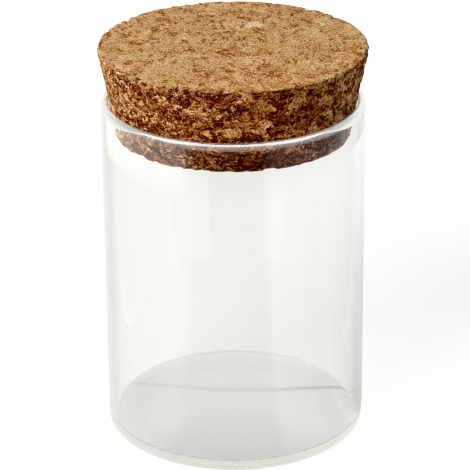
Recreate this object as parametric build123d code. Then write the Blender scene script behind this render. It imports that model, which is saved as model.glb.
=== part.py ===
from build123d import *
import os
from math import atan2, cos, radians, sin, tan

# A clear glass storage jar with a pressed cork stopper, standing on the XY plane about Z, in millimetres

# Glass jar, made in one piece from drawn tube
jar_diameter = 65.0
jar_height = 87.3
wall_thickness = 1.93
floor_thickness = 2.8
heel_radius = 2.9
inner_corner_radius = 0.9
bearing_ring_width = 2.4
push_up_height = 0.8
push_up_flank_width = 20.0
rim_shoulder_height = 1.9
rim_crown_radius = 0.75

# Cork stopper, a plain taper that wedges on the rounded inner edge of the rim
stopper_stand_out = 13.43
stopper_depth = 8.2
stopper_taper_angle = 11.5
seat_clearance = 0.15
top_edge_bevel = 0.35
bottom_edge_bevel = 0.4

# Hollows left by granules torn out of the stopper's side, from the smallest to the largest
side_pit_count = 46
side_pit_shortest = 2.0
side_pit_longest = 5.6
side_pit_shallowest = 0.5
side_pit_deepest = 1.1

# Hollows along the stopper's two edges
top_chip_count = 15
bottom_chip_count = 12
edge_chip_shortest = 2.0
edge_chip_longest = 4.8
edge_chip_shallowest = 0.5
edge_chip_deepest = 1.0

# Shape of a hollow as shares of its length, how far its cutter stands out of the cork, and how it lies in it
granule_width_share = 0.5
granule_floor_share = 0.6
granule_overrun = 0.9
granule_lean_angle = 16.0
granule_spin_angle = 55.0
edge_facing_angle = 45.0
quarter_turn = 90.0
full_turn = 360.0

# Steps that scatter the hollows evenly and never repeat, and the stretch of the side that they cover
turn_step_share = 0.754878
height_step_share = 0.569840
size_step_share = 0.618034
lean_step_share = 0.414214
low_side_share = 0.10
high_side_share = 0.90

# Places that both pieces share
jar_radius = jar_diameter / 2
mouth_radius = jar_radius - wall_thickness
crown_center_radius = mouth_radius + rim_crown_radius
crown_center_height = jar_height - rim_crown_radius
stopper_top = jar_height + stopper_stand_out
stopper_bottom = jar_height - stopper_depth


def scatter(index, step_share):
    # Evenly spread share from 0 up to 1 for one granule of a series
    return (index * step_share) % 1


def between(low, high, share):
    return low + (high - low) * share


def stopper_radius(height):
    # Radius of the taper at a height, held one clearance off the rounded rim that it wedges on
    lean = radians(stopper_taper_angle)
    radius_at_crown_center = crown_center_radius - (rim_crown_radius + seat_clearance) / cos(lean)
    return radius_at_crown_center + (height - crown_center_height) * tan(lean)


def make_jar():
    # Half section: pushed-up underside, bearing ring, heel, wall, fire-polished rim, inside wall, corner, floor.
    # The rim is two arcs that touch where both lean alike: a wide one for the shoulder, which starts further
    # down than the inside does, and the small round crown, which runs over the top to the inside wall.
    heel_start = jar_radius - heel_radius
    ring_start = heel_start - bearing_ring_width
    floor_edge = mouth_radius - inner_corner_radius
    corner_height = floor_thickness + inner_corner_radius
    recess_edge = ring_start - push_up_flank_width
    shoulder_start = jar_height - rim_shoulder_height
    crown_inset = jar_radius - crown_center_radius
    crown_rise = crown_center_height - shoulder_start
    arc_spread = 2 * (crown_inset - rim_crown_radius)
    shoulder_radius = (crown_inset**2 + crown_rise**2 - rim_crown_radius**2) / arc_spread
    shoulder_lean = atan2(crown_rise, shoulder_radius - crown_inset)
    shoulder_end = (
        crown_center_radius + rim_crown_radius * cos(shoulder_lean),
        crown_center_height + rim_crown_radius * sin(shoulder_lean),
    )
    with BuildSketch(Plane.XZ) as section:
        with BuildLine():
            Line((0, push_up_height), (recess_edge, push_up_height))
            Line((recess_edge, push_up_height), (ring_start, 0))
            Line((ring_start, 0), (heel_start, 0))
            TangentArc((heel_start, 0), (jar_radius, heel_radius), tangent=(1, 0))
            Line((jar_radius, heel_radius), (jar_radius, shoulder_start))
            TangentArc((jar_radius, shoulder_start), shoulder_end, tangent=(0, 1))
            TangentArc(
                shoulder_end,
                (mouth_radius, crown_center_height),
                tangent=(-sin(shoulder_lean), cos(shoulder_lean)),
            )
            Line((mouth_radius, crown_center_height), (mouth_radius, corner_height))
            TangentArc((mouth_radius, corner_height), (floor_edge, floor_thickness), tangent=(0, -1))
            Line((floor_edge, floor_thickness), (0, floor_thickness))
            Line((0, floor_thickness), (0, push_up_height))
        make_face()
    return revolve(section.sketch, axis=Axis.Z)


def make_granule(place, length, depth, index):
    # Cutter for the hollow of one granule: a leaning wedge that narrows into the cork, at a place facing out
    width = length * granule_width_share
    floor_length = length * granule_floor_share
    floor_width = width * granule_floor_share
    near_end = (length - floor_length) * scatter(index, lean_step_share)
    near_side = (width - floor_width) * scatter(index, height_step_share)
    height = depth + granule_overrun
    cutter = Wedge(
        length, height, width, near_end, near_side, near_end + floor_length, near_side + floor_width,
        rotation=(-quarter_turn, 0, 0),
    )
    lean = between(-granule_lean_angle, granule_lean_angle, scatter(index, lean_step_share))
    tip = between(granule_lean_angle, -granule_lean_angle, scatter(index, size_step_share))
    spin = between(-granule_spin_angle, granule_spin_angle, scatter(index, turn_step_share + lean_step_share))
    return place * Rot(lean, tip, spin) * Pos(0, 0, height / 2 - depth) * cutter


def face_out(turn, radius, height, rise):
    # Place on the stopper at a turn about Z: local X runs round it and local Z points out, raised by an angle
    around = (-sin(radians(turn)), cos(radians(turn)), 0)
    level = cos(radians(rise))
    outward = (cos(radians(turn)) * level, sin(radians(turn)) * level, sin(radians(rise)))
    origin = (radius * cos(radians(turn)), radius * sin(radians(turn)), height)
    return Plane(origin=origin, x_dir=around, z_dir=outward)


def make_side_pits():
    pits = []
    for index in range(side_pit_count):
        turn = full_turn * scatter(index, turn_step_share)
        share = between(low_side_share, high_side_share, scatter(index, height_step_share))
        height = between(stopper_bottom, stopper_top, share)
        size_share = scatter(index, size_step_share)
        length = between(side_pit_shortest, side_pit_longest, size_share)
        depth = between(side_pit_shallowest, side_pit_deepest, size_share)
        place = face_out(turn, stopper_radius(height), height, -stopper_taper_angle)
        pits.append(make_granule(place, length, depth, index))
    return pits


def make_edge_chips(count, height, rise):
    chips = []
    for index in range(count):
        turn = full_turn * (index + scatter(index, size_step_share)) / count
        size_share = scatter(index, lean_step_share)
        length = between(edge_chip_shortest, edge_chip_longest, size_share)
        depth = between(edge_chip_shallowest, edge_chip_deepest, size_share)
        place = face_out(turn, stopper_radius(height), height, rise)
        chips.append(make_granule(place, length, depth, index))
    return chips


def make_stopper():
    # Tapered plug with a sanded bevel on its top edge and a wider one below, less the granules torn away
    with BuildSketch(Plane.XZ) as section:
        with BuildLine():
            Polyline(
                (0, stopper_bottom),
                (stopper_radius(stopper_bottom), stopper_bottom),
                (stopper_radius(stopper_top), stopper_top),
                (0, stopper_top),
                close=True,
            )
        make_face()
        chamfer(section.vertices().group_by(Axis.X)[2], top_edge_bevel)
        chamfer(section.vertices().group_by(Axis.X)[1], bottom_edge_bevel)
    chips = make_side_pits()
    chips += make_edge_chips(top_chip_count, stopper_top, edge_facing_angle)
    chips += make_edge_chips(bottom_chip_count, stopper_bottom, -edge_facing_angle)
    return revolve(section.sketch, axis=Axis.Z) - chips


glass_jar = make_jar()
cork_stopper = make_stopper()

os.makedirs("parts", exist_ok=True)
export_step(glass_jar, "parts/glass_jar.step")
export_step(cork_stopper, "parts/cork_stopper.step")
print("stopper top diameter", round(stopper_radius(stopper_top) * 2, 2))
print("stopper bottom diameter", round(stopper_radius(stopper_bottom) * 2, 2))
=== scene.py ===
import bpy
import math
import numpy as np
from mathutils import Matrix, Vector
from mathutils import noise as turbulence
from mathutils.kdtree import KDTree


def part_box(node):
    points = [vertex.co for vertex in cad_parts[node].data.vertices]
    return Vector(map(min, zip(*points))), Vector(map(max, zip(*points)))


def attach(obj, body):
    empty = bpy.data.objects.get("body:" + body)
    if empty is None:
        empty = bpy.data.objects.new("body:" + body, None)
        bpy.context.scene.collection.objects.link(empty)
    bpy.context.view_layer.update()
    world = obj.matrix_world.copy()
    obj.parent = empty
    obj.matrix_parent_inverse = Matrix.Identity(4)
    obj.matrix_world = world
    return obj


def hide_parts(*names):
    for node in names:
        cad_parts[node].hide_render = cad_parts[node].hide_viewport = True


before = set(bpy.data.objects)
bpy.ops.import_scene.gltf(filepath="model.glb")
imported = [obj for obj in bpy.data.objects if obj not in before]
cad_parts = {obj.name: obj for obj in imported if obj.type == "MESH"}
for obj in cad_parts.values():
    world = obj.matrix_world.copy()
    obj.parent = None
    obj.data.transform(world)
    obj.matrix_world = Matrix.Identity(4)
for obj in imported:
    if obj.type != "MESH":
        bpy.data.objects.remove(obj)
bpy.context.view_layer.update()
mm = 0.001


# Small helpers for node trees

def newMaterial(name):
    material = bpy.data.materials.new(name)
    material.use_nodes = True
    material.node_tree.nodes.clear()
    return material, material.node_tree


def addNode(tree, kind, inputs=None, **settings):
    node = tree.nodes.new(kind)
    for key, value in settings.items():
        setattr(node, key, value)
    for key, value in (inputs or {}).items():
        socket = node.inputs[key]
        if isinstance(value, bpy.types.NodeSocket):
            tree.links.new(value, socket)
        else:
            socket.default_value = value
    return node


def mathNode(tree, operation, a, b=0.0, clamp=False):
    return addNode(tree, "ShaderNodeMath", {0: a, 1: b}, operation=operation, use_clamp=clamp).outputs[0]


def vectorMath(tree, operation, a, b):
    return addNode(tree, "ShaderNodeVectorMath", {0: a, 1: b}, operation=operation).outputs[0]


def mixValue(tree, factor, a, b):
    return addNode(tree, "ShaderNodeMix", {0: factor, 2: a, 3: b}).outputs[0]


def mixColor(tree, factor, a, b, blend="MIX"):
    return addNode(tree, "ShaderNodeMix", {0: factor, 6: a, 7: b}, data_type="RGBA", blend_type=blend).outputs[2]


def mixShader(tree, factor, a, b):
    return addNode(tree, "ShaderNodeMixShader", {0: factor, 1: a.outputs[0], 2: b.outputs[0]})


def remap(tree, value, low, high, toLow=0.0, toHigh=1.0):
    return addNode(tree, "ShaderNodeMapRange", {0: value, 1: low, 2: high, 3: toLow, 4: toHigh}).outputs[0]


def between(tree, share, ends):
    # From the first of two values at share 0 to the second at share 1
    return remap(tree, share, 0.0, 1.0, *ends)


def ramp(tree, factor, stops):
    node = addNode(tree, "ShaderNodeValToRGB", {0: factor})
    elements = node.color_ramp.elements
    while len(elements) > 1:
        elements.remove(elements[-1])
    elements[0].position, elements[0].color = stops[0]
    for position, color in stops[1:]:
        elements.new(position).color = color
    return node.outputs[0]


def objectPlace(tree):
    return addNode(tree, "ShaderNodeTexCoord").outputs["Object"]


def splitVector(tree, vector):
    return addNode(tree, "ShaderNodeSeparateXYZ", {0: vector}).outputs


def attribute(tree, name, output="Fac"):
    return addNode(tree, "ShaderNodeAttribute", attribute_name=name).outputs[output]


def noise(tree, place, scale, detail, roughness, stretch=None):
    if stretch:
        place = vectorMath(tree, "MULTIPLY", place, stretch)
    inputs = {"Vector": place, "Scale": scale, "Detail": detail, "Roughness": roughness}
    return addNode(tree, "ShaderNodeTexNoise", inputs).outputs[0]


# Small helpers for meshes

def makeMesh(name, vertices, faces, smooth=True):
    mesh = bpy.data.meshes.new(name)
    mesh.from_pydata(vertices, [], faces)
    mesh.update()
    mesh.polygons.foreach_set("use_smooth", [smooth] * len(mesh.polygons))
    obj = bpy.data.objects.new(name, mesh)
    bpy.context.scene.collection.objects.link(obj)
    return obj


def meshArrays(mesh):
    count = len(mesh.vertices)
    points, normals = np.empty(count * 3), np.empty(count * 3)
    mesh.vertices.foreach_get("co", points)
    mesh.vertices.foreach_get("normal", normals)
    return points.reshape(-1, 3), normals.reshape(-1, 3)


def addAttribute(mesh, name, kind, values, domain="POINT"):
    layer = mesh.attributes.new(name, kind, domain)
    field = "value" if kind == "FLOAT" else "vector"
    layer.data.foreach_set(field, np.ascontiguousarray(values, dtype=np.float32).ravel())


# Glass jar

glass = {
    "segments": 224,
    "arcSteps": 12,
    "rimSteps": 16,
    "wall": 1.93 * mm,
    "floor": 2.8 * mm,
    "heel": 2.9 * mm,
    "innerCorner": 0.9 * mm,
    "rimShoulder": 1.9 * mm,             # the fire-polished rim rounds off from further down outside than inside
    "rimCrown": 0.75 * mm,
    "bearingRing": 2.4 * mm,
    "pushUp": 0.8 * mm,
    "pushUpFlank": 20.0 * mm,
    "indexOfRefraction": 1.473,
    "rimGloss": 2.6,                     # index of the gloss coat that the flame leaves on the rim
    "rimGlossRoughness": 0.02,
    "waves": (60.0, 1.0, 0.5, (1.0, 1.0, 0.25)),  # uneven drawn wall: its noise's scale, detail, roughness, stretch
    "waveStrength": 0.025,
    "waveHeight": 0.4 * mm,
    "seedSpacing": 9.0 * mm,             # tiny bubbles left in the glass
    "seedRadius": 0.35 * mm,
    "seedStrength": 0.6,
    "seedHeight": 0.12 * mm,
    "edgeTint": (0.41, 0.77, 0.23, 1),   # seen only where light runs a long way inside the wall
    "tintDensity": 0.7,
    "paintedGlowFrom": 1.5,                   # painted glow: a ray mirrored more often than this inside the glass shows the glow below, in place of light run along the wall
    "paintedWallGlow": (                     # the painted glow's tones, from the underside up to the rim
        (0.0, (0.75, 0.74, 0.68, 1)), (0.006, (0.79, 0.775, 0.72, 1)), (0.0115, (0.66, 0.65, 0.585, 1)),
        (0.02, (0.60, 0.60, 0.53, 1)), (0.06, (0.60, 0.60, 0.53, 1)), (0.9, (0.78, 0.80, 0.72, 1))),
    "cornerShade": 0.30,                  # painted shade: share of grey matt in the corner between wall and floor, darkening its line
    "cornerShadeGather": 1.5,                   # the higher, the closer it keeps to the corner's middle
    "cornerShadeColor": (0.42, 0.41, 0.38, 1),
    "shadowTint": (0.885, 0.89, 0.88, 1),
}


def arcPoints(center, radius, startAngle, endAngle, steps, side=1):
    # Points of an arc with the direction that the surface faces at each; side -1 faces the middle of the arc
    points = []
    for step in range(steps + 1):
        angle = math.radians(startAngle + (endAngle - startAngle) * step / steps)
        c, s = math.cos(angle), math.sin(angle)
        points.append((center[0] + radius * c, center[1] + radius * s, side * c, side * s))
    return points


def pushUpPoints(start, flank, lift, steps):
    # The underside's soft flank, from its raised middle out to where the bearing ring starts
    points = []
    for step in range(steps + 1):
        share = step / steps
        slope = -0.5 * math.pi * lift / flank * math.sin(math.pi * share)
        length = math.hypot(slope, 1)
        height = lift * (0.5 + 0.5 * math.cos(math.pi * share))
        points.append((start - flank * (1 - share), height, slope / length, -1 / length))
    return points


def jarProfile():
    # Half section from the middle of the underside, round the rim, to the middle of the inside floor
    low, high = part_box("glass_jar")
    outer, top = high.x, high.z
    inner, crown = outer - glass["wall"], glass["rimCrown"]
    heel, corner, floor = glass["heel"], glass["innerCorner"], glass["floor"]
    steps, lift = glass["arcSteps"], glass["pushUp"]
    points = [(0, lift, 0, -1)]
    points += pushUpPoints(outer - heel - glass["bearingRing"], glass["pushUpFlank"], lift, steps)
    points += arcPoints((outer - heel, heel), heel, -90, 0, steps)
    # The crown's middle, in from the wall and up from the shoulder
    inset, rise = glass["wall"] - crown, glass["rimShoulder"] - crown
    shoulder = (inset ** 2 + rise ** 2 - crown ** 2) / (2 * (inset - crown))
    lean = math.degrees(math.atan2(rise, shoulder - inset))
    points += arcPoints((outer - shoulder, top - glass["rimShoulder"]), shoulder, 0, lean, glass["rimSteps"])
    points += arcPoints((inner + crown, top - crown), crown, lean, 180, 2 * glass["rimSteps"])[1:]
    points += arcPoints((inner - corner, floor + corner), corner, 0, -90, steps, -1)
    points.append((0, floor, 0, 1))
    return points


def revolve(name, profile, segments):
    # Turns a half section that starts and ends on the axis about Z
    ring = profile[1:-1]
    vertices, normals = [(0, 0, profile[0][1]), (0, 0, profile[-1][1])], [(0, 0, -1), (0, 0, 1)]
    for index in range(segments):
        angle = 2 * math.pi * index / segments
        c, s = math.cos(angle), math.sin(angle)
        vertices += [(r * c, r * s, z) for r, z, nr, nz in ring]
        normals += [(nr * c, nr * s, nz) for r, z, nr, nz in ring]
    count = len(ring)
    faces = []
    for index in range(segments):
        a = 2 + index * count
        b = 2 + (index + 1) % segments * count
        faces.append((0, b, a))
        faces += [(a + k, b + k, b + k + 1, a + k + 1) for k in range(count - 1)]
        faces.append((a + count - 1, b + count - 1, 1))
    obj = makeMesh(name, vertices, faces)
    obj.data.normals_split_custom_set_from_vertices(normals)
    return obj


def cornerShare(points):
    # 1 in the middle of the round corner between wall and floor, 0 at both its ends
    corner, slack = glass["innerCorner"], 0.01 * mm
    across = np.linalg.norm(points[:, :2], axis=1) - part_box("glass_jar")[1].x + glass["wall"] + corner
    up = points[:, 2] - glass["floor"] - corner
    onArc = (across > -slack) & (across < corner + slack) & (up < slack) & (up > -corner - slack)
    return np.where(onArc, np.sin(2 * np.arctan2(-up, across)).clip(0, 1) ** glass["cornerShadeGather"], 0)


def glassMaterial():
    material, tree = newMaterial("clearGlass")
    place = objectPlace(tree)
    waves = noise(tree, place, *glass["waves"])
    bump = addNode(tree, "ShaderNodeBump", {
        "Height": waves, "Strength": glass["waveStrength"], "Distance": glass["waveHeight"]})
    seeds = addNode(tree, "ShaderNodeTexVoronoi", {"Vector": place, "Scale": 1 / glass["seedSpacing"]})
    seeds = remap(tree, seeds.outputs["Distance"], 0.0, glass["seedRadius"] / glass["seedSpacing"], 1.0, 0.0)
    bump = addNode(tree, "ShaderNodeBump", {
        "Height": seeds, "Strength": glass["seedStrength"], "Distance": glass["seedHeight"],
        "Normal": bump.outputs[0]})
    height = splitVector(tree, place)[2]
    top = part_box("glass_jar")[1].z
    polished = remap(tree, height, top - glass["rimShoulder"], top - glass["rimCrown"])
    shader = addNode(tree, "ShaderNodeBsdfPrincipled", {
        "Base Color": (1, 1, 1, 1), "Roughness": 0.0, "IOR": glass["indexOfRefraction"],
        "Transmission Weight": 1.0, "Normal": bump.outputs[0],
        "Coat Weight": polished, "Coat Roughness": glass["rimGlossRoughness"], "Coat IOR": glass["rimGloss"]})
    path = addNode(tree, "ShaderNodeLightPath")
    # Painted light: the glass itself glows with these tones by height once a ray has been mirrored inside it more
    # than once
    wallGlow = ramp(tree, remap(tree, height, 0.0, top), glass["paintedWallGlow"])
    wallGlow = addNode(tree, "ShaderNodeEmission", {"Color": wallGlow, "Strength": 1.0})
    deep = mathNode(tree, "GREATER_THAN", path.outputs["Glossy Depth"], glass["paintedGlowFrom"])
    solid = mixShader(tree, deep, shader, wallGlow)
    # Painted shade: grey matt mixed into the inner corner darkens the line between wall and floor
    dust = addNode(tree, "ShaderNodeBsdfDiffuse", {"Color": glass["cornerShadeColor"]})
    solid = mixShader(tree, mathNode(tree, "MULTIPLY", attribute(tree, "corner"), glass["cornerShade"]), solid, dust)
    clear = addNode(tree, "ShaderNodeBsdfTransparent", {"Color": glass["shadowTint"]})
    spread = mathNode(tree, "MAXIMUM", path.outputs["Is Shadow Ray"], path.outputs["Is Diffuse Ray"])
    surface = mixShader(tree, spread, solid, clear)
    body = addNode(tree, "ShaderNodeVolumeAbsorption", {"Color": glass["edgeTint"], "Density": glass["tintDensity"]})
    addNode(tree, "ShaderNodeOutputMaterial", {"Surface": surface.outputs[0], "Volume": body.outputs[0]})
    material.cycles.emission_sampling = "NONE"
    return material


def makeJar():
    jar = revolve("glassJar", jarProfile(), glass["segments"])
    addAttribute(jar.data, "corner", "FLOAT", cornerShare(meshArrays(jar.data)[0]))
    jar.data.materials.append(glassMaterial())
    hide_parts("glass_jar")
    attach(jar, "jar")
    print("glass jar made")


makeJar()


# Pressed cork stopper

corkStopper = {
    # Flakes and crumbs
    "seed": 21,
    "voxel": 0.33 * mm,
    "flakeSpacing": 3.9 * mm,         # mean distance between flake centres
    "crumbSpacing": 1.15 * mm,
    "flatness": 2.2,                  # how much flatter than wide the flakes lie
    "crumbFlatness": 1.15,
    "flakeLength": (1.25, 2.1),       # least and most reach of a flake along its grain
    "flakeWidth": (0.8, 1.15),        # and across it
    "tilt": 16.0,                     # degrees that a flake leans out of the level
    "crumbTilt": 32.0,
    "tiltLimit": 2,                   # no flake leans more than this many times as far
    "turnedFrom": 24.0 * mm,          # further out than this the flakes lie round the stopper
    "turnSpread": 32.0,
    "margin": 4.0 * mm,               # flakes are strewn this far beyond the stopper
    "flakesNear": 9,                  # how many are tried to find the one that holds a point
    "crumbsNear": 6,
    "crumbShare": (                   # share of crumbly flakes by angle
        (-180, 0.7), (-112, 0.85), (-92, 0.3), (-72, 0.1), (-45, 0.2), (-20, 0.6), (180, 0.7)),
    "markedFlakes": (                 # place on the top, and tone: 0 rusty, 1 pale
        (-9.5, -29.0, 1.0), (-7.5, -29.5, 1.0), (23.5, 0.0, 1.0),
        (-11.0, 13.0, 0.0), (-5.5, 10.5, 0.0), (-24.0, -4.0, 0.0)),
    "crumbToneShares": (0.6, 0.4),    # what a crumb's tone takes from its flake, and from itself
    "grainShift": 40,                 # sets each flake's grain elsewhere in the noise

    # Relief
    "raggedness": ((2.2 * mm, 1.1 * mm), (0.8 * mm, 0.5 * mm)),   # size and reach of the noise that tears borders
    "creviceWidth": 0.34 * mm,
    "creviceDepth": 0.34 * mm,
    "creviceFloor": 0.1,              # this and the next three are shares of the crevice's width
    "crumbGapWidth": 0.6,
    "stepWidth": 1.5,
    "tornSlopeWidth": 2.2,
    "crumbGapDepth": 0.55,            # a gap between crumbs beside a crevice: its depth, and its darkness
    "crumbGapDark": 0.8,
    "flakeStep": 0.34 * mm,           # how far one flake may stand behind the next
    "crumbStep": 0.26 * mm,
    "tornShare": 0.05,
    "tornDepth": 0.9 * mm,
    "sandedSteepness": (0.75, 0.95),  # how far up or down a face looks where sanding begins, and is full
    "sandedDepthShare": 0.14,         # how much of all this is left on the sanded ends
    "pressedDepthShare": 0.3,         # and on the part that the neck squeezes
    "pressedFade": 3.0 * mm,
    "pressedFrom": (2.2, 0.7),        # below the rim, in shares of that fade: where the squeeze begins, and is full

    # Crumbled edges
    "frailAngle": -125.0,             # side on which the top edge has crumbled most, in degrees
    "frailWidth": 50.0,
    "frailFade": (0.5, 1.0),
    "frailShare": (0.35, 1.0),        # how much of the edge crumbles away from that side, and on it
    "crumbledDepth": 1.1 * mm,
    "crumbledReach": 2.6 * mm,
    "footDepth": 0.25 * mm,           # depth at the bottom edge
    "biteNoise": ((1.7 * mm, 1.0), (0.7 * mm, 0.6)),     # size and weight of the noises that place the bites
    "biteFrailty": 0.75,              # how much a frail place adds to them
    "biteLimit": 0.35,                # what they have to pass for a bite to begin
    "biteRim": 0.35,                  # and how far beyond it the bite is at its full depth
    "biteFade": 0.9,                  # how much a place far from the edge takes off

    # Texture: a noise is its scale, detail, roughness and stretch
    "grainRun": (1.0, 0.6, 1.0),
    "jitterNoise": {"Scale": 1.2, "Detail": 3.0},
    "jitterShare": (0.3, 1.0),        # a pair such as this is for smooth flakes and for crumbly ones
    "bitStretch": (0.55, 1.1, 1.5),
    "crumbScale": 1.0,                # bits of about 1 by 2 mm
    "bitScale": 2.6,                  # and of less than half that
    "speckScale": 1.7,
    "gapRange": (0.04, 0.10),
    "streaks": (1.0, 3.0, 0.65, (0.32, 2.7, 2.7)),
    "grain": (3.0, 2.0, 0.6, (0.6, 1.0, 1.0)),
    "cracks": (1.0, 2.0, 0.5, (0.45, 1.8, 1.8)),
    "crackWidth": 0.05,
    "crackCore": 0.3,                 # share of that width that is dark all through
    "grit": (2600.0, 2.0, 0.6),
    "dustScale": 2900.0,
    "clumps": (520.0, 2.0, 0.55),
    "patches": (130.0, 2.0, 0.5),
    "cellRelief": {"crumbs": 0.6, "bits": 0.5},
    "cellReliefShare": (0.3, 1.0),
    "grainRelief": {"grain": 0.8, "grit": 0.8, "dust": 0.2, "streaks": 0.5},
    "reliefDepth": (0.45 * mm, 0.16 * mm),   # on the side, and on the sanded ends
    "roughness": (0.3, 0.7, 0.75, 0.95),     # this range of the streaks gives that range of roughness
    "indexOfRefraction": 1.05,

    # Cut side: a mean level, and how far each pattern moves it
    "crumblyLevel": 0.52,
    "crumblyWeights": {"tone": 0.27, "crumbs": 0.52, "bits": 0.46, "grain": 0.85, "grit": 0.9, "dust": 0.34,
                       "patches": 0.3},
    "smoothLevel": 0.48,
    "smoothWeights": {"tone": 0.62, "crumbs": 0.05, "bits": 0.10, "grain": 0.6, "grit": 0.7, "dust": 0.10,
                      "streaks": 1.8},
    # painted light: the cut side lighter towards its left, where light from the left falls; the next entry makes it
    # lighter towards the right edge
    "paintedLightLeft": (-30 * mm, -2 * mm, 1.0, 0.0),
    "paintedLightLeftLift": 0.36,
    "paleRight": (12 * mm, 30 * mm, 0.0, 0.18),
    "chipRange": (0.91, 0.95),
    "chipLift": (0.05, 0.22),         # on the right, and on the left
    "gapDark": (0.12, 0.9),
    "crackDark": (0.85, 1.0),
    "darkNoise": (850.0, 2.0, 0.55),  # breaks up the dark lines
    "darkRange": (0.45, 0.53, 0.12, 1.0),
    "holeRange": (0.11, 0.07),
    "holeDark": (0.4, 0.95),
    "sideDarkness": 0.74,             # a crack darkens by way of red brown
    "sideTones": (
        (0.0, (0.026, 0.0003, 0.0, 1)), (0.12, (0.070, 0.0026, 0.0002, 1)), (0.3, (0.170, 0.0255, 0.0015, 1)),
        (0.5, (0.272, 0.081, 0.0105, 1)), (0.7, (0.385, 0.172, 0.043, 1)), (0.9, (0.53, 0.305, 0.136, 1)),
        (1.0, (0.65, 0.478, 0.29, 1))),

    # Sanded ends
    "sandedLevel": 0.435,
    "sandedWeights": {"tone": 0.28, "patches": 0.26, "crumbs": 0.04, "bits": 0.10, "streaks": 0.12, "grain": 0.38,
                      "grit": 1.35, "dust": 0.42},
    "poreRange": (0.54, 0.62, 0.0, 0.42),
    "creviceRange": (0.53, 0.61, 0.0, 0.38),
    "paleNoise": (700.0, 2.0, 0.6),
    "paleRange": (0.52, 0.72, 0.0, 0.16),
    "sandedTones": (
        (0.0, (0.152, 0.036, 0.004, 1)), (0.15, (0.265, 0.100, 0.018, 1)), (0.35, (0.374, 0.195, 0.063, 1)),
        (0.5, (0.432, 0.264, 0.117, 1)), (0.65, (0.476, 0.318, 0.170, 1)), (0.85, (0.515, 0.372, 0.228, 1)),
        (1.0, (0.58, 0.450, 0.305, 1))),
    "rustNoise": (95.0, 2.0, 0.5),
    "rustRange": (0.45, 0.62, 0.0, 0.25),
    "rustTint": (1.0, 0.92, 0.80, 1),
    "markedTones": (                  # range of tones of the marked flakes, and their colour
        ((0.06, 0.03, 0.0, 0.75), (0.33, 0.130, 0.038, 1)),
        ((0.97, 0.985, 0.0, 0.45), (0.64, 0.475, 0.29, 1))),
}


def smoothStep(low, high, value):
    t = np.clip((value - low) / (high - low), 0.0, 1.0)
    return t * t * (3 - 2 * t)


def awayFromAxis(points):
    return np.linalg.norm(points[:, :2], axis=1)


def flakeSeeds(rng, low, high, spacing, flatness, tilt):
    # Scattered flake centres, each with its own long, middle and short direction
    values = corkStopper
    size = high - low
    count = int(np.prod(size) * flatness / spacing ** 3)
    centers = low + rng.random((count, 3)) * size
    turn = rng.random(count) * 2 * np.pi
    around = np.arctan2(centers[:, 1], centers[:, 0]) + np.pi / 2
    around = around + np.radians(values["turnSpread"]) * rng.normal(0, 1, count)
    turn = np.where(awayFromAxis(centers) > values["turnedFrom"], around, turn)
    lean = np.radians(tilt) * rng.normal(0, 1, (count, 2)).clip(-values["tiltLimit"], values["tiltLimit"])
    along = np.stack([np.cos(turn), np.sin(turn), np.tan(lean[:, 0])], 1)
    along /= np.linalg.norm(along, axis=1)[:, None]
    up = np.stack([np.tan(lean[:, 1]) * -np.sin(turn), np.tan(lean[:, 1]) * np.cos(turn), np.ones(count)], 1)
    across = np.cross(up, along)
    across /= np.linalg.norm(across, axis=1)[:, None]
    up = np.cross(along, across)
    axes = np.stack([along, across, up], 1)
    length, width = rng.uniform(*values["flakeLength"], count), rng.uniform(*values["flakeWidth"], count)
    return centers, axes, np.stack([length, width, np.full(count, 1 / flatness)], 1)


def nearestFlake(points, seeds, flatness, candidates):
    # For each point its flake, and the distance to that flake's border
    centers, axes, reach = seeds
    squash = np.array([1.0, 1.0, flatness])
    tree = KDTree(len(centers))
    for index, center in enumerate(centers * squash):
        tree.insert(center, index)
    tree.balance()
    found = np.array([[hit[1] for hit in tree.find_n(p, candidates)] for p in points * squash])
    local = np.einsum("nkij,nkj->nki", axes[found], points[:, None, :] - centers[found])
    length = np.linalg.norm(local / reach[found], axis=2)
    order = np.argsort(length, axis=1)
    rows = np.arange(len(points))
    first, second = order[:, 0], order[:, 1]
    return found[rows, first], (length[rows, second] - length[rows, first]) / 2


def ragged(points, layers):
    # Shifts points by soft noise, so that borders between flakes come out torn and not straight
    shifted = points.copy()
    for size, amount in layers:
        shifted += amount * np.array([turbulence.noise_vector(Vector(p / size)) for p in points])
    return shifted


def outward(points, rise):
    # Direction away from the axis and up or down at once
    away = points * (1, 1, 0) / np.maximum(awayFromAxis(points), mm)[:, None]
    return (away + (0, 0, rise)) / math.sqrt(2)


def crumbledEdge(points, radius, height):
    # How far each point belongs to a bite out of the edge with that radius and height, 0 to 1
    values = corkStopper
    fromEdge = np.hypot(height - points[:, 2], radius - awayFromAxis(points))
    close = fromEdge < values["crumbledReach"]
    bite = np.zeros(len(points))
    near = points[close]
    field = np.array([sum(share * turbulence.noise(Vector(p / size)) for size, share in values["biteNoise"])
                      for p in near])
    turn = np.degrees(np.arctan2(near[:, 1], near[:, 0]))
    frail = 1 - smoothStep(*values["frailFade"], np.abs(turn - values["frailAngle"]) / values["frailWidth"])
    share = np.interp(frail, (0, 1), values["frailShare"])
    level = field + values["biteFrailty"] * share - values["biteLimit"]
    level = level - values["biteFade"] * fromEdge[close] / values["crumbledReach"]
    bite[close] = smoothStep(0.0, values["biteRim"], level)
    return bite


def voxelMesh():
    # The frame's stopper as one even mesh that is fine enough for the relief
    rough = bpy.data.objects.new("roughCork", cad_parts["cork_stopper"].data.copy())
    bpy.context.scene.collection.objects.link(rough)
    remesh = rough.modifiers.new("voxels", "REMESH")
    remesh.mode = "VOXEL"
    remesh.voxel_size = corkStopper["voxel"]
    mesh = bpy.data.meshes.new_from_object(rough.evaluated_get(bpy.context.evaluated_depsgraph_get()))
    bpy.data.objects.remove(rough)
    return mesh


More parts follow.
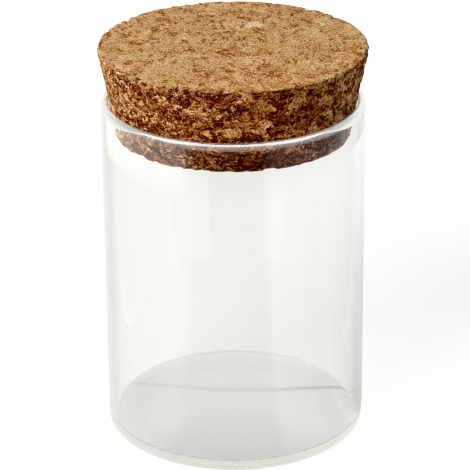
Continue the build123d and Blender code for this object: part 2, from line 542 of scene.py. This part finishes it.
def faceCorners(mesh):
    # For each corner of each face its vertex, and the vertex that the face starts with
    corners = np.empty(len(mesh.loops), dtype=int)
    starts = np.empty(len(mesh.polygons), dtype=int)
    totals = np.empty(len(mesh.polygons), dtype=int)
    mesh.loops.foreach_get("vertex_index", corners)
    mesh.polygons.foreach_get("loop_start", starts)
    mesh.polygons.foreach_get("loop_total", totals)
    return corners, np.repeat(corners[starts], totals)


def makeCork():
    values = corkStopper
    rng = np.random.default_rng(values["seed"])
    mesh = voxelMesh()
    points, normals = meshArrays(mesh)
    low, high = (np.array(corner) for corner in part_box("cork_stopper"))
    start, end = low - values["margin"], high + values["margin"]
    flakes = flakeSeeds(rng, start, end, values["flakeSpacing"], values["flatness"], values["tilt"])
    crumbs = flakeSeeds(rng, start, end, values["crumbSpacing"], values["crumbFlatness"], values["crumbTilt"])
    turbulence.seed_set(values["seed"])       # the noise would differ from run to run without it
    torn = ragged(points, values["raggedness"])
    flake, flakeBorder = nearestFlake(torn, flakes, values["flatness"], values["flakesNear"])
    crumb, crumbBorder = nearestFlake(torn, crumbs, 1.0, values["crumbsNear"])

    flakeCount, crumbCount = len(flakes[0]), len(crumbs[0])
    flakeTurn = np.degrees(np.arctan2(flakes[0][:, 1], flakes[0][:, 0]))
    crumblyFlakes = rng.random(flakeCount) < np.interp(flakeTurn, *zip(*values["crumbShare"]))
    crumbly = crumblyFlakes[flake]
    flakeTones = rng.random(flakeCount)
    for x, y, tone in values["markedFlakes"]:
        nearest = np.argmin(np.linalg.norm(points - (x * mm, y * mm, high[2]), axis=1))
        flakeTones[flake[nearest]] = tone
    crumbTones = rng.random(crumbCount)
    flakeBack, crumbBack = rng.random(flakeCount)[flake], rng.random(crumbCount)[crumb]
    missing = (rng.random(flakeCount) < values["tornShare"])[flake]
    flakeShift, crumbShift = rng.random((flakeCount, 3)), rng.random((crumbCount, 3))

    sanded = smoothStep(*values["sandedSteepness"], np.abs(normals[:, 2]))
    keep = 1 - sanded * (1 - values["sandedDepthShare"])
    neckTop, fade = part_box("glass_jar")[1].z, values["pressedFade"]
    pressed = smoothStep(*(neckTop - share * fade for share in values["pressedFrom"]), points[:, 2])
    pressed = pressed - smoothStep(neckTop, neckTop + fade, points[:, 2])
    keep *= 1 - pressed * (1 - values["pressedDepthShare"])
    width = values["creviceWidth"]
    flakeGap = 1 - smoothStep(values["creviceFloor"] * width, width, flakeBorder)
    crumbGap = (1 - smoothStep(0.0, values["crumbGapWidth"] * width, crumbBorder)) * crumbly
    depth = values["creviceDepth"] * np.maximum(flakeGap, values["crumbGapDepth"] * crumbGap)
    depth += values["flakeStep"] * flakeBack * smoothStep(0.0, values["stepWidth"] * width, flakeBorder)
    depth += values["crumbStep"] * crumbBack * crumbly * smoothStep(0.0, width, crumbBorder)
    tornSlope = smoothStep(0.0, values["tornSlopeWidth"] * width, flakeBorder)
    depth += values["tornDepth"] * missing * tornSlope * (1 - sanded)
    crumbled = crumbledEdge(points, high[0], high[2])
    foot = crumbledEdge(points, awayFromAxis(points[points[:, 2] < low[2] + mm]).max(), low[2])
    sanded *= 1 - crumbled
    shift = normals * (depth * keep)[:, None] + outward(points, 1) * (values["crumbledDepth"] * crumbled)[:, None]
    points = points - shift - outward(points, -1) * (values["footDepth"] * foot)[:, None]
    reach = awayFromAxis(points)
    points[:, :2] *= (np.minimum(reach, high[0]) / np.maximum(reach, mm))[:, None]
    points[:, 2] = points[:, 2].clip(low[2], high[2])
    mesh.vertices.foreach_set("co", points.ravel())
    mesh.polygons.foreach_set("use_smooth", [True] * len(mesh.polygons))

    # Each face keeps to one flake and one crumb, so that their grain breaks off sharply at the border
    corners, lead = faceCorners(mesh)
    ownFlake, ownCrumb = flake[lead], crumb[lead]
    inFlake, inCrumb = (np.einsum("nij,nj->ni", seeds[1][own], torn[corners] - seeds[0][own])
                        for seeds, own in ((flakes, ownFlake), (crumbs, ownCrumb)))
    inCrumbs = crumblyFlakes[ownFlake]
    fromFlake, fromCrumb = values["crumbToneShares"]
    crumbTone = fromFlake * flakeTones[ownFlake] + fromCrumb * crumbTones[ownCrumb]
    tone = np.where(inCrumbs, crumbTone, flakeTones[ownFlake])
    grained = (inCrumbs & (sanded[lead] < 0.5))[:, None]      # sanding leaves only the flakes' own grain
    crumbPlace = inCrumb / mm + values["grainShift"] * crumbShift[ownCrumb]
    flakePlace = inFlake / mm + values["grainShift"] * flakeShift[ownFlake]
    addAttribute(mesh, "tone", "FLOAT", tone, "CORNER")
    addAttribute(mesh, "crumbly", "FLOAT", inCrumbs.astype(float), "CORNER")
    addAttribute(mesh, "fibre", "FLOAT_VECTOR", np.where(grained, crumbPlace, flakePlace), "CORNER")
    # How dark each point is painted for its crevice or gap: the cork's dark joints, and painted shade in the recess
    addAttribute(mesh, "crevice", "FLOAT", np.maximum(flakeGap, values["crumbGapDark"] * crumbGap))
    addAttribute(mesh, "sanded", "FLOAT", sanded)
    mesh.update()
    mesh.materials.clear()
    mesh.materials.append(corkMaterial())
    cork = bpy.data.objects.new("corkStopper", mesh)
    bpy.context.scene.collection.objects.link(cork)
    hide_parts("cork_stopper")
    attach(cork, "stopper")
    print("cork stopper made, %d faces, %d flakes" % (len(mesh.polygons), flakeCount))


def cells(tree, place, scale, channel=0):
    # A random value for each cell
    color = addNode(tree, "ShaderNodeTexVoronoi", {"Vector": place, "Scale": scale}).outputs["Color"]
    return addNode(tree, "ShaderNodeSeparateColor", {0: color}).outputs[channel]


def fromBorder(tree, place, scale):
    # How far the nearest border between two cells is
    inputs = {"Vector": place, "Scale": scale}
    return addNode(tree, "ShaderNodeTexVoronoi", inputs, feature="DISTANCE_TO_EDGE").outputs["Distance"]


def weighted(tree, start, patterns, weights):
    # start plus each pattern's distance from a half times its weight
    total = start
    for name, weight in weights.items():
        part = mathNode(tree, "MULTIPLY", mathNode(tree, "SUBTRACT", patterns[name], 0.5), weight)
        total = mathNode(tree, "ADD", total, part)
    return total


def contour(tree, value, width, core):
    # 1 along the lines where the value is a half, 0 further than width from them
    away = mathNode(tree, "ABSOLUTE", mathNode(tree, "SUBTRACT", value, 0.5))
    return remap(tree, away, core * width, width, 1.0, 0.0)


def corkPatterns(tree, place):
    # Everything that the cork's colour and relief are mixed from, by name
    values = corkStopper
    patterns = {name: attribute(tree, name) for name in ("tone", "crevice", "sanded", "crumbly")}
    fibre = attribute(tree, "fibre", "Vector")
    jitter = addNode(tree, "ShaderNodeTexNoise", {"Vector": fibre, **values["jitterNoise"]}).outputs["Color"]
    jitter = vectorMath(tree, "SUBTRACT", jitter, (0.5, 0.5, 0.5))
    share = between(tree, patterns["crumbly"], values["jitterShare"])
    jitter = addNode(tree, "ShaderNodeVectorMath", {0: jitter, "Scale": share}, operation="SCALE").outputs[0]
    warped = vectorMath(tree, "ADD", fibre, jitter)
    stretched = vectorMath(tree, "MULTIPLY", warped, values["bitStretch"])
    patterns["crumbs"] = cells(tree, stretched, values["crumbScale"])
    patterns["bits"] = cells(tree, stretched, values["bitScale"])
    patterns["specks"] = cells(tree, stretched, values["speckScale"], 1)
    patterns["dust"] = cells(tree, place, values["dustScale"])
    border = fromBorder(tree, stretched, values["crumbScale"])
    patterns["gaps"] = remap(tree, border, *values["gapRange"], 1.0, 0.0)
    for name in ("streaks", "grain"):
        patterns[name] = noise(tree, warped, *values[name])
    for name in ("grit", "clumps", "patches"):
        patterns[name] = noise(tree, place, *values[name])
    cracks = noise(tree, warped, *values["cracks"])
    patterns["cracks"] = contour(tree, cracks, values["crackWidth"], values["crackCore"])
    return patterns


def sideColor(tree, place, patterns):
    # Cut side: each flake's own tone, streaked along its length, broken up by crumbs, cracks and holes
    values, crumbly, specks = corkStopper, patterns["crumbly"], patterns["specks"]
    broken = weighted(tree, values["crumblyLevel"], patterns, values["crumblyWeights"])
    smooth = weighted(tree, values["smoothLevel"], patterns, values["smoothWeights"])
    level = mixValue(tree, crumbly, smooth, broken)
    # Painted light: the left of the cut side is lifted, as light from the left falls on it, and its bright chips are
    # lifted more there; the right edge is lifted too
    across = splitVector(tree, place)[0]
    pale = remap(tree, across, *values["paintedLightLeft"])
    level = mathNode(tree, "ADD", level, mathNode(tree, "MULTIPLY", pale, values["paintedLightLeftLift"]))
    level = mathNode(tree, "ADD", level, remap(tree, across, *values["paleRight"]))
    chips = remap(tree, specks, *values["chipRange"])
    level = mathNode(tree, "ADD", level, mathNode(tree, "MULTIPLY", chips, between(tree, pale, values["chipLift"])))
    # Crevices, gaps, cracks and holes are darkened: the cork's dark joints, and painted shade in these recesses
    dark = patterns["crevice"]
    for name, share in (("gaps", values["gapDark"]), ("cracks", values["crackDark"])):
        line = mathNode(tree, "MULTIPLY", patterns[name], between(tree, crumbly, share))
        dark = mathNode(tree, "MAXIMUM", dark, line)
    left = remap(tree, noise(tree, place, *values["darkNoise"]), *values["darkRange"])
    dark = mathNode(tree, "MULTIPLY", dark, left)
    holes = remap(tree, specks, *values["holeRange"])
    holes = mathNode(tree, "MULTIPLY", holes, between(tree, crumbly, values["holeDark"]))
    dark = mathNode(tree, "MAXIMUM", dark, holes)
    level = mathNode(tree, "SUBTRACT", level, mathNode(tree, "MULTIPLY", dark, values["sideDarkness"]))
    return ramp(tree, level, values["sideTones"])


def sandedColor(tree, place, patterns):
    # Sanded ends: the same flakes rubbed to one tan, darker in the pores and crevices, as dark joints and painted
    # shade there
    values, clumps = corkStopper, patterns["clumps"]
    level = weighted(tree, values["sandedLevel"], patterns, values["sandedWeights"])
    # Painted shade in the pores and crevices, with the cork's dark joints
    pores = mathNode(tree, "MAXIMUM", patterns["gaps"], patterns["cracks"])
    pores = mathNode(tree, "MULTIPLY", pores, remap(tree, clumps, *values["poreRange"]))
    crevices = mathNode(tree, "MULTIPLY", patterns["crevice"], remap(tree, clumps, *values["creviceRange"]))
    pores = mathNode(tree, "MAXIMUM", pores, crevices)
    pale = remap(tree, noise(tree, place, *values["paleNoise"]), *values["paleRange"])
    level = mathNode(tree, "SUBTRACT", mathNode(tree, "ADD", level, pale), pores)
    color = ramp(tree, level, values["sandedTones"])
    rust = remap(tree, noise(tree, place, *values["rustNoise"]), *values["rustRange"])
    color = mixColor(tree, rust, color, mixColor(tree, 1.0, color, values["rustTint"], "MULTIPLY"))
    for tones, marked in values["markedTones"]:
        color = mixColor(tree, remap(tree, patterns["tone"], *tones), color, marked)
    return color


def corkMaterial():
    values = corkStopper
    material, tree = newMaterial("pressedCork")
    place = vectorMath(tree, "MULTIPLY", objectPlace(tree), values["grainRun"])
    patterns = corkPatterns(tree, place)
    side, top = sideColor(tree, place, patterns), sandedColor(tree, place, patterns)
    share = between(tree, patterns["crumbly"], values["cellReliefShare"])
    height = mathNode(tree, "MULTIPLY", weighted(tree, 0.0, patterns, values["cellRelief"]), share)
    height = weighted(tree, height, patterns, values["grainRelief"])
    depth = between(tree, patterns["sanded"], values["reliefDepth"])
    bump = addNode(tree, "ShaderNodeBump", {"Height": height, "Strength": 1.0, "Distance": depth})
    shader = addNode(tree, "ShaderNodeBsdfPrincipled", {
        "Base Color": mixColor(tree, patterns["sanded"], side, top), "Normal": bump.outputs[0],
        "Roughness": remap(tree, patterns["streaks"], *values["roughness"]), "IOR": values["indexOfRefraction"]})
    addNode(tree, "ShaderNodeOutputMaterial", {"Surface": shader.outputs[0]})
    return material


makeCork()


# Floor, backdrop and light

white = (1, 1, 1, 1)
studio = {
    "floorHalfWidth": 1.2,
    "floorFront": -0.9,
    "floorBack": 1.6,
    "floorDrop": 0.03 * mm,      # keeps the jar's underside and the floor out of one plane
    "floorColor": 0.28,
    "floorBounce": 0.8,
    "whiteShare": 0.70,          # share of the floor's white that no shadow reaches
    "throughGlass": (0.902, 0.891, 0.868, 1),
    "mirroredTone": 0.75,        # what the glass shows of the floor after one reflection inside it
    "seamPlace": (11.6 * mm, -0.11),     # faint seam that only the glass shows: its place, and its slope on the left
    "seamWidth": (0.5 * mm, 1.3 * mm),
    "seamTone": ((-30.0 * mm, 0.11), (8.0 * mm, 0.12), (17.0 * mm, 0.28), (30.0 * mm, 0.28)),
    "underShade": 0.02,          # shade of the floor under the whole jar
    "underFront": (2.0 * mm, -30.0 * mm, 0.0, 0.26),     # and more of it towards its front
    "underSides": (10.0 * mm, 28.0 * mm, 0.0, 0.15),     # and towards its two sides
    "domeLight": 0.67,
    "roomGlow": 0.6,             # how bright the room above the backdrop looks mirrored in the jar's floor
    "roomHeights": (0.62, 0.85), # from the first to the second it goes over to white
    "keyPower": 10.0,
    "keyPlace": (-0.45, -0.5, 0.6),
    "keyTarget": (0, 0, 0.07),
    "keySize": 0.45,
    "fanSteps": 40,
    "fans": (                    # flat glowing cards on the floor that paint the glass's reflections, seen only in them; glow has a row for each radius
        {"name": "darkReflectionCard", "height": 0.5 * mm, "color": white,     # painted dark reflection towards the camera
         "radii": (0.036, 0.06, 0.15, 0.198, 0.224, 0.9),
         "angles": (-60.0, -42.0, -30.0, 26.0, 31.0, 60.0),
         "glow": ((1.0, 1.0, 0.5, 0.5, 1.0, 1.0), (1.0, 1.0, 0.3, 0.3, 1.0, 1.0), (1.0, 1.0, 0.3, 0.3, 1.0, 1.0),
                  (1.0, 1.0, 0.6, 0.6, 1.0, 1.0), (1.0, 1.0, 0.0, 0.0, 0.25, 0.25),
                  (1.0, 1.0, 0.0, 0.0, 0.25, 0.25))},
        {"name": "neckReflectionCard", "height": 0.7 * mm, "color": white,     # the same on the right, before the cork
         "radii": (0.205, 0.23, 0.9),
         "angles": (60.0, 92.0, 112.0),
         "glow": ((1.0, 1.0, 1.0), (0.25, 0.25, 1.0), (0.25, 0.25, 1.0))},
        {"name": "brightReflectionCard", "height": 1.0 * mm, "color": (1.0, 0.93, 0.83, 1),     # painted bright reflection on the left
         "radii": (0.195, 0.215, 0.6),
         "angles": (-138.0, -46.0, -36.0),
         "glow": ((0.92, 0.92, 0.5), (1.7, 1.7, 0.2), (1.7, 1.7, 0.2))},
        {"name": "sideShade", "height": 0.5 * mm, "color": white,    # the object's own shadow on the right
         "radii": (0.034, 0.10, 0.15, 0.21),
         "angles": (76.0, 92.0, 116.0, 150.0, 178.0),
         "glow": ((1.0, 0.60, 0.65, 0.66, 1.0), (1.0, 0.78, 0.76, 0.74, 1.0), (1.0, 1.0, 0.92, 0.91, 1.0),
                  (1.0, 1.0, 0.98, 0.98, 1.0))}),
    "highlightCardHalfWidth": 1.2,     # painted highlight: a glowing card that lights nothing, seen only where it shines straight off the outside of the rim
    "highlightCardHeight": 0.75,
    "highlightCardRows": ((-1.6, 1.0), (-0.84, 1.1), (-0.56, 3.5), (0.02, 3.5)),
    "highlightCardColor": (1.0, 0.955, 0.90, 1),
}


def pathMasks(tree):
    # What the camera sees straight or in glass and not by scattered light, what it sees through glass, and what it
    # sees mirrored once. A ray's depths are whole numbers, so a half parts one from the next.
    path = addNode(tree, "ShaderNodeLightPath").outputs
    seen = mathNode(tree, "ADD", path["Is Camera Ray"], path["Is Glossy Ray"])
    seen = mathNode(tree, "ADD", seen, path["Is Transmission Ray"], clamp=True)
    direct = mathNode(tree, "LESS_THAN", path["Diffuse Depth"], 0.5)
    mirrored = addNode(tree, "ShaderNodeMath", {0: path["Glossy Depth"], 1: 1.0, 2: 0.5}, operation="COMPARE")
    return mathNode(tree, "MULTIPLY", seen, direct), path["Is Transmission Ray"], mirrored.outputs[0]


def seamAndShadowTint(tree):
    # The floor's tone through glass, darker along the seam, and with a painted shadow under the jar
    place = objectPlace(tree)
    x, y = splitVector(tree, place)[:2]
    start, slope = studio["seamPlace"]
    line = mathNode(tree, "MULTIPLY", mathNode(tree, "MINIMUM", x, 0.0), slope)
    line = mathNode(tree, "ADD", start, line)
    away = mathNode(tree, "ABSOLUTE", mathNode(tree, "SUBTRACT", y, line))
    onSeam = remap(tree, away, *studio["seamWidth"], 1.0, 0.0)
    left, right = studio["seamTone"][0][0], studio["seamTone"][-1][0]
    tones = [((spot - left) / (right - left), (tone, tone, tone, 1)) for spot, tone in studio["seamTone"]]
    dark = mathNode(tree, "MULTIPLY", onSeam, ramp(tree, remap(tree, x, left, right), tones))
    # Painted shadow under the jar, growing towards its front and its two sides
    toFront = remap(tree, y, *studio["underFront"])
    toSide = remap(tree, mathNode(tree, "ABSOLUTE", x), *studio["underSides"])
    fromAxis = addNode(tree, "ShaderNodeVectorMath", {0: place}, operation="LENGTH").outputs["Value"]
    under = mathNode(tree, "LESS_THAN", fromAxis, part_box("glass_jar")[1].x)
    shade = mathNode(tree, "ADD", studio["underShade"], mathNode(tree, "MAXIMUM", toFront, toSide))
    dark = mathNode(tree, "ADD", dark, mathNode(tree, "MULTIPLY", under, shade))
    return mixColor(tree, dark, studio["throughGlass"], (0, 0, 0, 1))


def whiteMaterial():
    # Pale matt floor that reads as plain white to the camera and in glass, and still holds the object's shadow
    material, tree = newMaterial("studioWhite")
    seen, through, mirrored = pathMasks(tree)
    matt, bounce = studio["floorColor"], studio["floorBounce"]
    mirroredTint = [studio["mirroredTone"] * tone for tone in studio["throughGlass"][:3]] + [1]
    tint = mixColor(tree, through, white, mixColor(tree, mirrored, seamAndShadowTint(tree), mirroredTint))
    mattTint = mixColor(tree, 1.0, tint, (matt, matt, matt, 1), "MULTIPLY")
    albedo = mixColor(tree, seen, (bounce, bounce, bounce, 1), mattTint)
    diffuse = addNode(tree, "ShaderNodeBsdfDiffuse", {"Color": albedo})
    glow = mathNode(tree, "MULTIPLY", seen, studio["whiteShare"])
    emission = addNode(tree, "ShaderNodeEmission", {"Color": tint, "Strength": glow})
    both = addNode(tree, "ShaderNodeAddShader", {0: diffuse.outputs[0], 1: emission.outputs[0]})
    addNode(tree, "ShaderNodeOutputMaterial", {"Surface": both.outputs[0]})
    return material


def glowMaterial(name, color, outside=False):
    # Glow for painted reflections, as the mesh's own attribute says, for what is mirrored once, or only for what the
    # object's outside mirrors
    material, tree = newMaterial(name)
    emission = addNode(tree, "ShaderNodeEmission", {"Color": color, "Strength": attribute(tree, "glow")})
    clear = addNode(tree, "ShaderNodeBsdfTransparent")
    mirrored = pathMasks(tree)[2]
    if outside:
        depth = addNode(tree, "ShaderNodeLightPath").outputs["Transmission Depth"]
        mirrored = mathNode(tree, "MULTIPLY", mirrored, mathNode(tree, "LESS_THAN", depth, 0.5))
    addNode(tree, "ShaderNodeOutputMaterial", {"Surface": mixShader(tree, mirrored, clear, emission).outputs[0]})
    return material


def makeFloor():
    w, front, back = studio["floorHalfWidth"], studio["floorFront"], studio["floorBack"]
    z = -studio["floorDrop"]
    vertices = [(-w, front, z), (w, front, z), (w, back, z), (-w, back, z)]
    floor = makeMesh("studioFloor", vertices, [(0, 1, 2, 3)], False)
    floor.data.materials.append(whiteMaterial())


def reflectionOnly(obj, material):
    obj.data.materials.append(material)
    obj.visible_camera = False
    obj.visible_diffuse = False
    obj.visible_shadow = False


def fan(card):
    # Flat ring sector on the floor; angle 0 is the camera's side, and minus is to its left
    radii, angles, steps = card["radii"], card["angles"], studio["fanSteps"]
    fineAngles = np.unique(np.concatenate([angles, np.linspace(angles[0], angles[-1], steps)]))
    fineRadii = np.unique(np.concatenate([radii, np.geomspace(radii[0], radii[-1], steps)]))
    rows = np.array([np.interp(fineAngles, angles, row) for row in card["glow"]])
    glow = np.array([np.interp(fineRadii, radii, column) for column in rows.T])
    vertices = [(r * math.sin(turn), -r * math.cos(turn), card["height"])
                for turn in map(math.radians, fineAngles) for r in fineRadii]
    count = len(fineRadii)
    corners = [(i * count + k, i * count + k + 1, (i + 1) * count + k + 1, (i + 1) * count + k)
               for i in range(len(fineAngles) - 1) for k in range(count - 1)]
    obj = makeMesh(card["name"], vertices, corners, False)
    addAttribute(obj.data, "glow", "FLOAT", glow)
    reflectionOnly(obj, glowMaterial(card["name"] + "Glow", card["color"]))


# Painted highlight on the rim: a glowing card that lights nothing and shows only in the rim's outside reflection
def makeRimHighlightCard():
    rows, halfWidth = studio["highlightCardRows"], studio["highlightCardHalfWidth"]
    vertices = [(x, y, studio["highlightCardHeight"]) for y, glow in rows for x in (-halfWidth, halfWidth)]
    faces = [(2 * k, 2 * k + 1, 2 * k + 3, 2 * k + 2) for k in range(len(rows) - 1)]
    highlightCard = makeMesh("rimHighlightCard", vertices, faces, False)
    addAttribute(highlightCard.data, "glow", "FLOAT", [glow for y, glow in rows for x in (0, 1)])
    reflectionOnly(highlightCard, glowMaterial("highlightCardGlow", studio["highlightCardColor"], outside=True))


def makeWorld():
    # Even white to the camera, and a darker room where the jar's floor mirrors it from inside
    world = bpy.data.worlds.new("studioWorld")
    bpy.context.scene.world = world
    world.use_nodes = True
    tree = world.node_tree
    tree.nodes.clear()
    seen, through, mirrored = pathMasks(tree)
    depth = addNode(tree, "ShaderNodeLightPath").outputs["Transmission Depth"]
    inside = mathNode(tree, "MULTIPLY", mirrored, mathNode(tree, "GREATER_THAN", depth, 0.5))
    height = splitVector(tree, addNode(tree, "ShaderNodeTexCoord").outputs["Generated"])[2]
    room = remap(tree, height, *studio["roomHeights"], studio["roomGlow"], 1.0)
    level = mixValue(tree, seen, studio["domeLight"], mixValue(tree, inside, 1.0, room))
    tint = mixColor(tree, through, white, studio["throughGlass"])
    shade = addNode(tree, "ShaderNodeBackground", {"Color": tint, "Strength": level})
    addNode(tree, "ShaderNodeOutputWorld", {"Surface": shade.outputs[0]})


def makeKeyLight():
    data = bpy.data.lights.new("keySoftbox", "AREA")
    data.shape = "SQUARE"
    data.size = studio["keySize"]
    data.energy = studio["keyPower"]
    light = bpy.data.objects.new("keySoftbox", data)
    light.location = studio["keyPlace"]
    toTarget = Vector(studio["keyTarget"]) - Vector(studio["keyPlace"])
    light.rotation_euler = toTarget.to_track_quat("-Z", "Y").to_euler()
    light.visible_camera = light.visible_glossy = light.visible_transmission = False
    bpy.context.scene.collection.objects.link(light)


makeFloor()
for card in studio["fans"]:
    fan(card)
makeRimHighlightCard()
makeWorld()
makeKeyLight()
print("studio made")


# Camera at the photograph's place, in a 470 by 470 picture

photo = {
    "side": 470,
    "focalPixels": 2652.0,
    "distance": 0.6643,
    "elevation": 23.72,
    "targetX": 0.242 * mm,
    "targetZ": 50.23 * mm,
    "roll": -0.368,
    "sensor": 36.0,
    "clip": (0.01, 20),
}


def makeCamera():
    data = bpy.data.cameras.new("photoCamera")
    data.sensor_width = photo["sensor"]
    data.lens = photo["focalPixels"] / photo["side"] * photo["sensor"]
    data.clip_start, data.clip_end = photo["clip"]
    camera = bpy.data.objects.new("photoCamera", data)
    e, r = math.radians(photo["elevation"]), math.radians(photo["roll"])
    back = Vector((0, -math.cos(e), math.sin(e)))
    right, up = Vector((1, 0, 0)), Vector((0, math.sin(e), math.cos(e)))
    turnedRight = right * math.cos(r) + up * math.sin(r)
    turnedUp = up * math.cos(r) - right * math.sin(r)
    place = Vector((photo["targetX"], 0, photo["targetZ"])) + back * photo["distance"]
    axes = Matrix((turnedRight, turnedUp, back)).transposed().to_4x4()
    camera.matrix_world = Matrix.Translation(place) @ axes
    bpy.context.scene.collection.objects.link(camera)
    bpy.context.scene.camera = camera


makeCamera()
scene = bpy.context.scene
scene.view_settings.view_transform = "Standard"
scene.cycles.filter_width = 1.1            # as crisp as the photograph
scene.cycles.max_bounces = 96
scene.cycles.glossy_bounces = 96
scene.cycles.transmission_bounces = 48
scene.cycles.transparent_max_bounces = 24
scene.cycles.caustics_reflective = False   # lamps shine through the glass by its shadow mix instead
scene.cycles.caustics_refractive = False
print("camera placed")
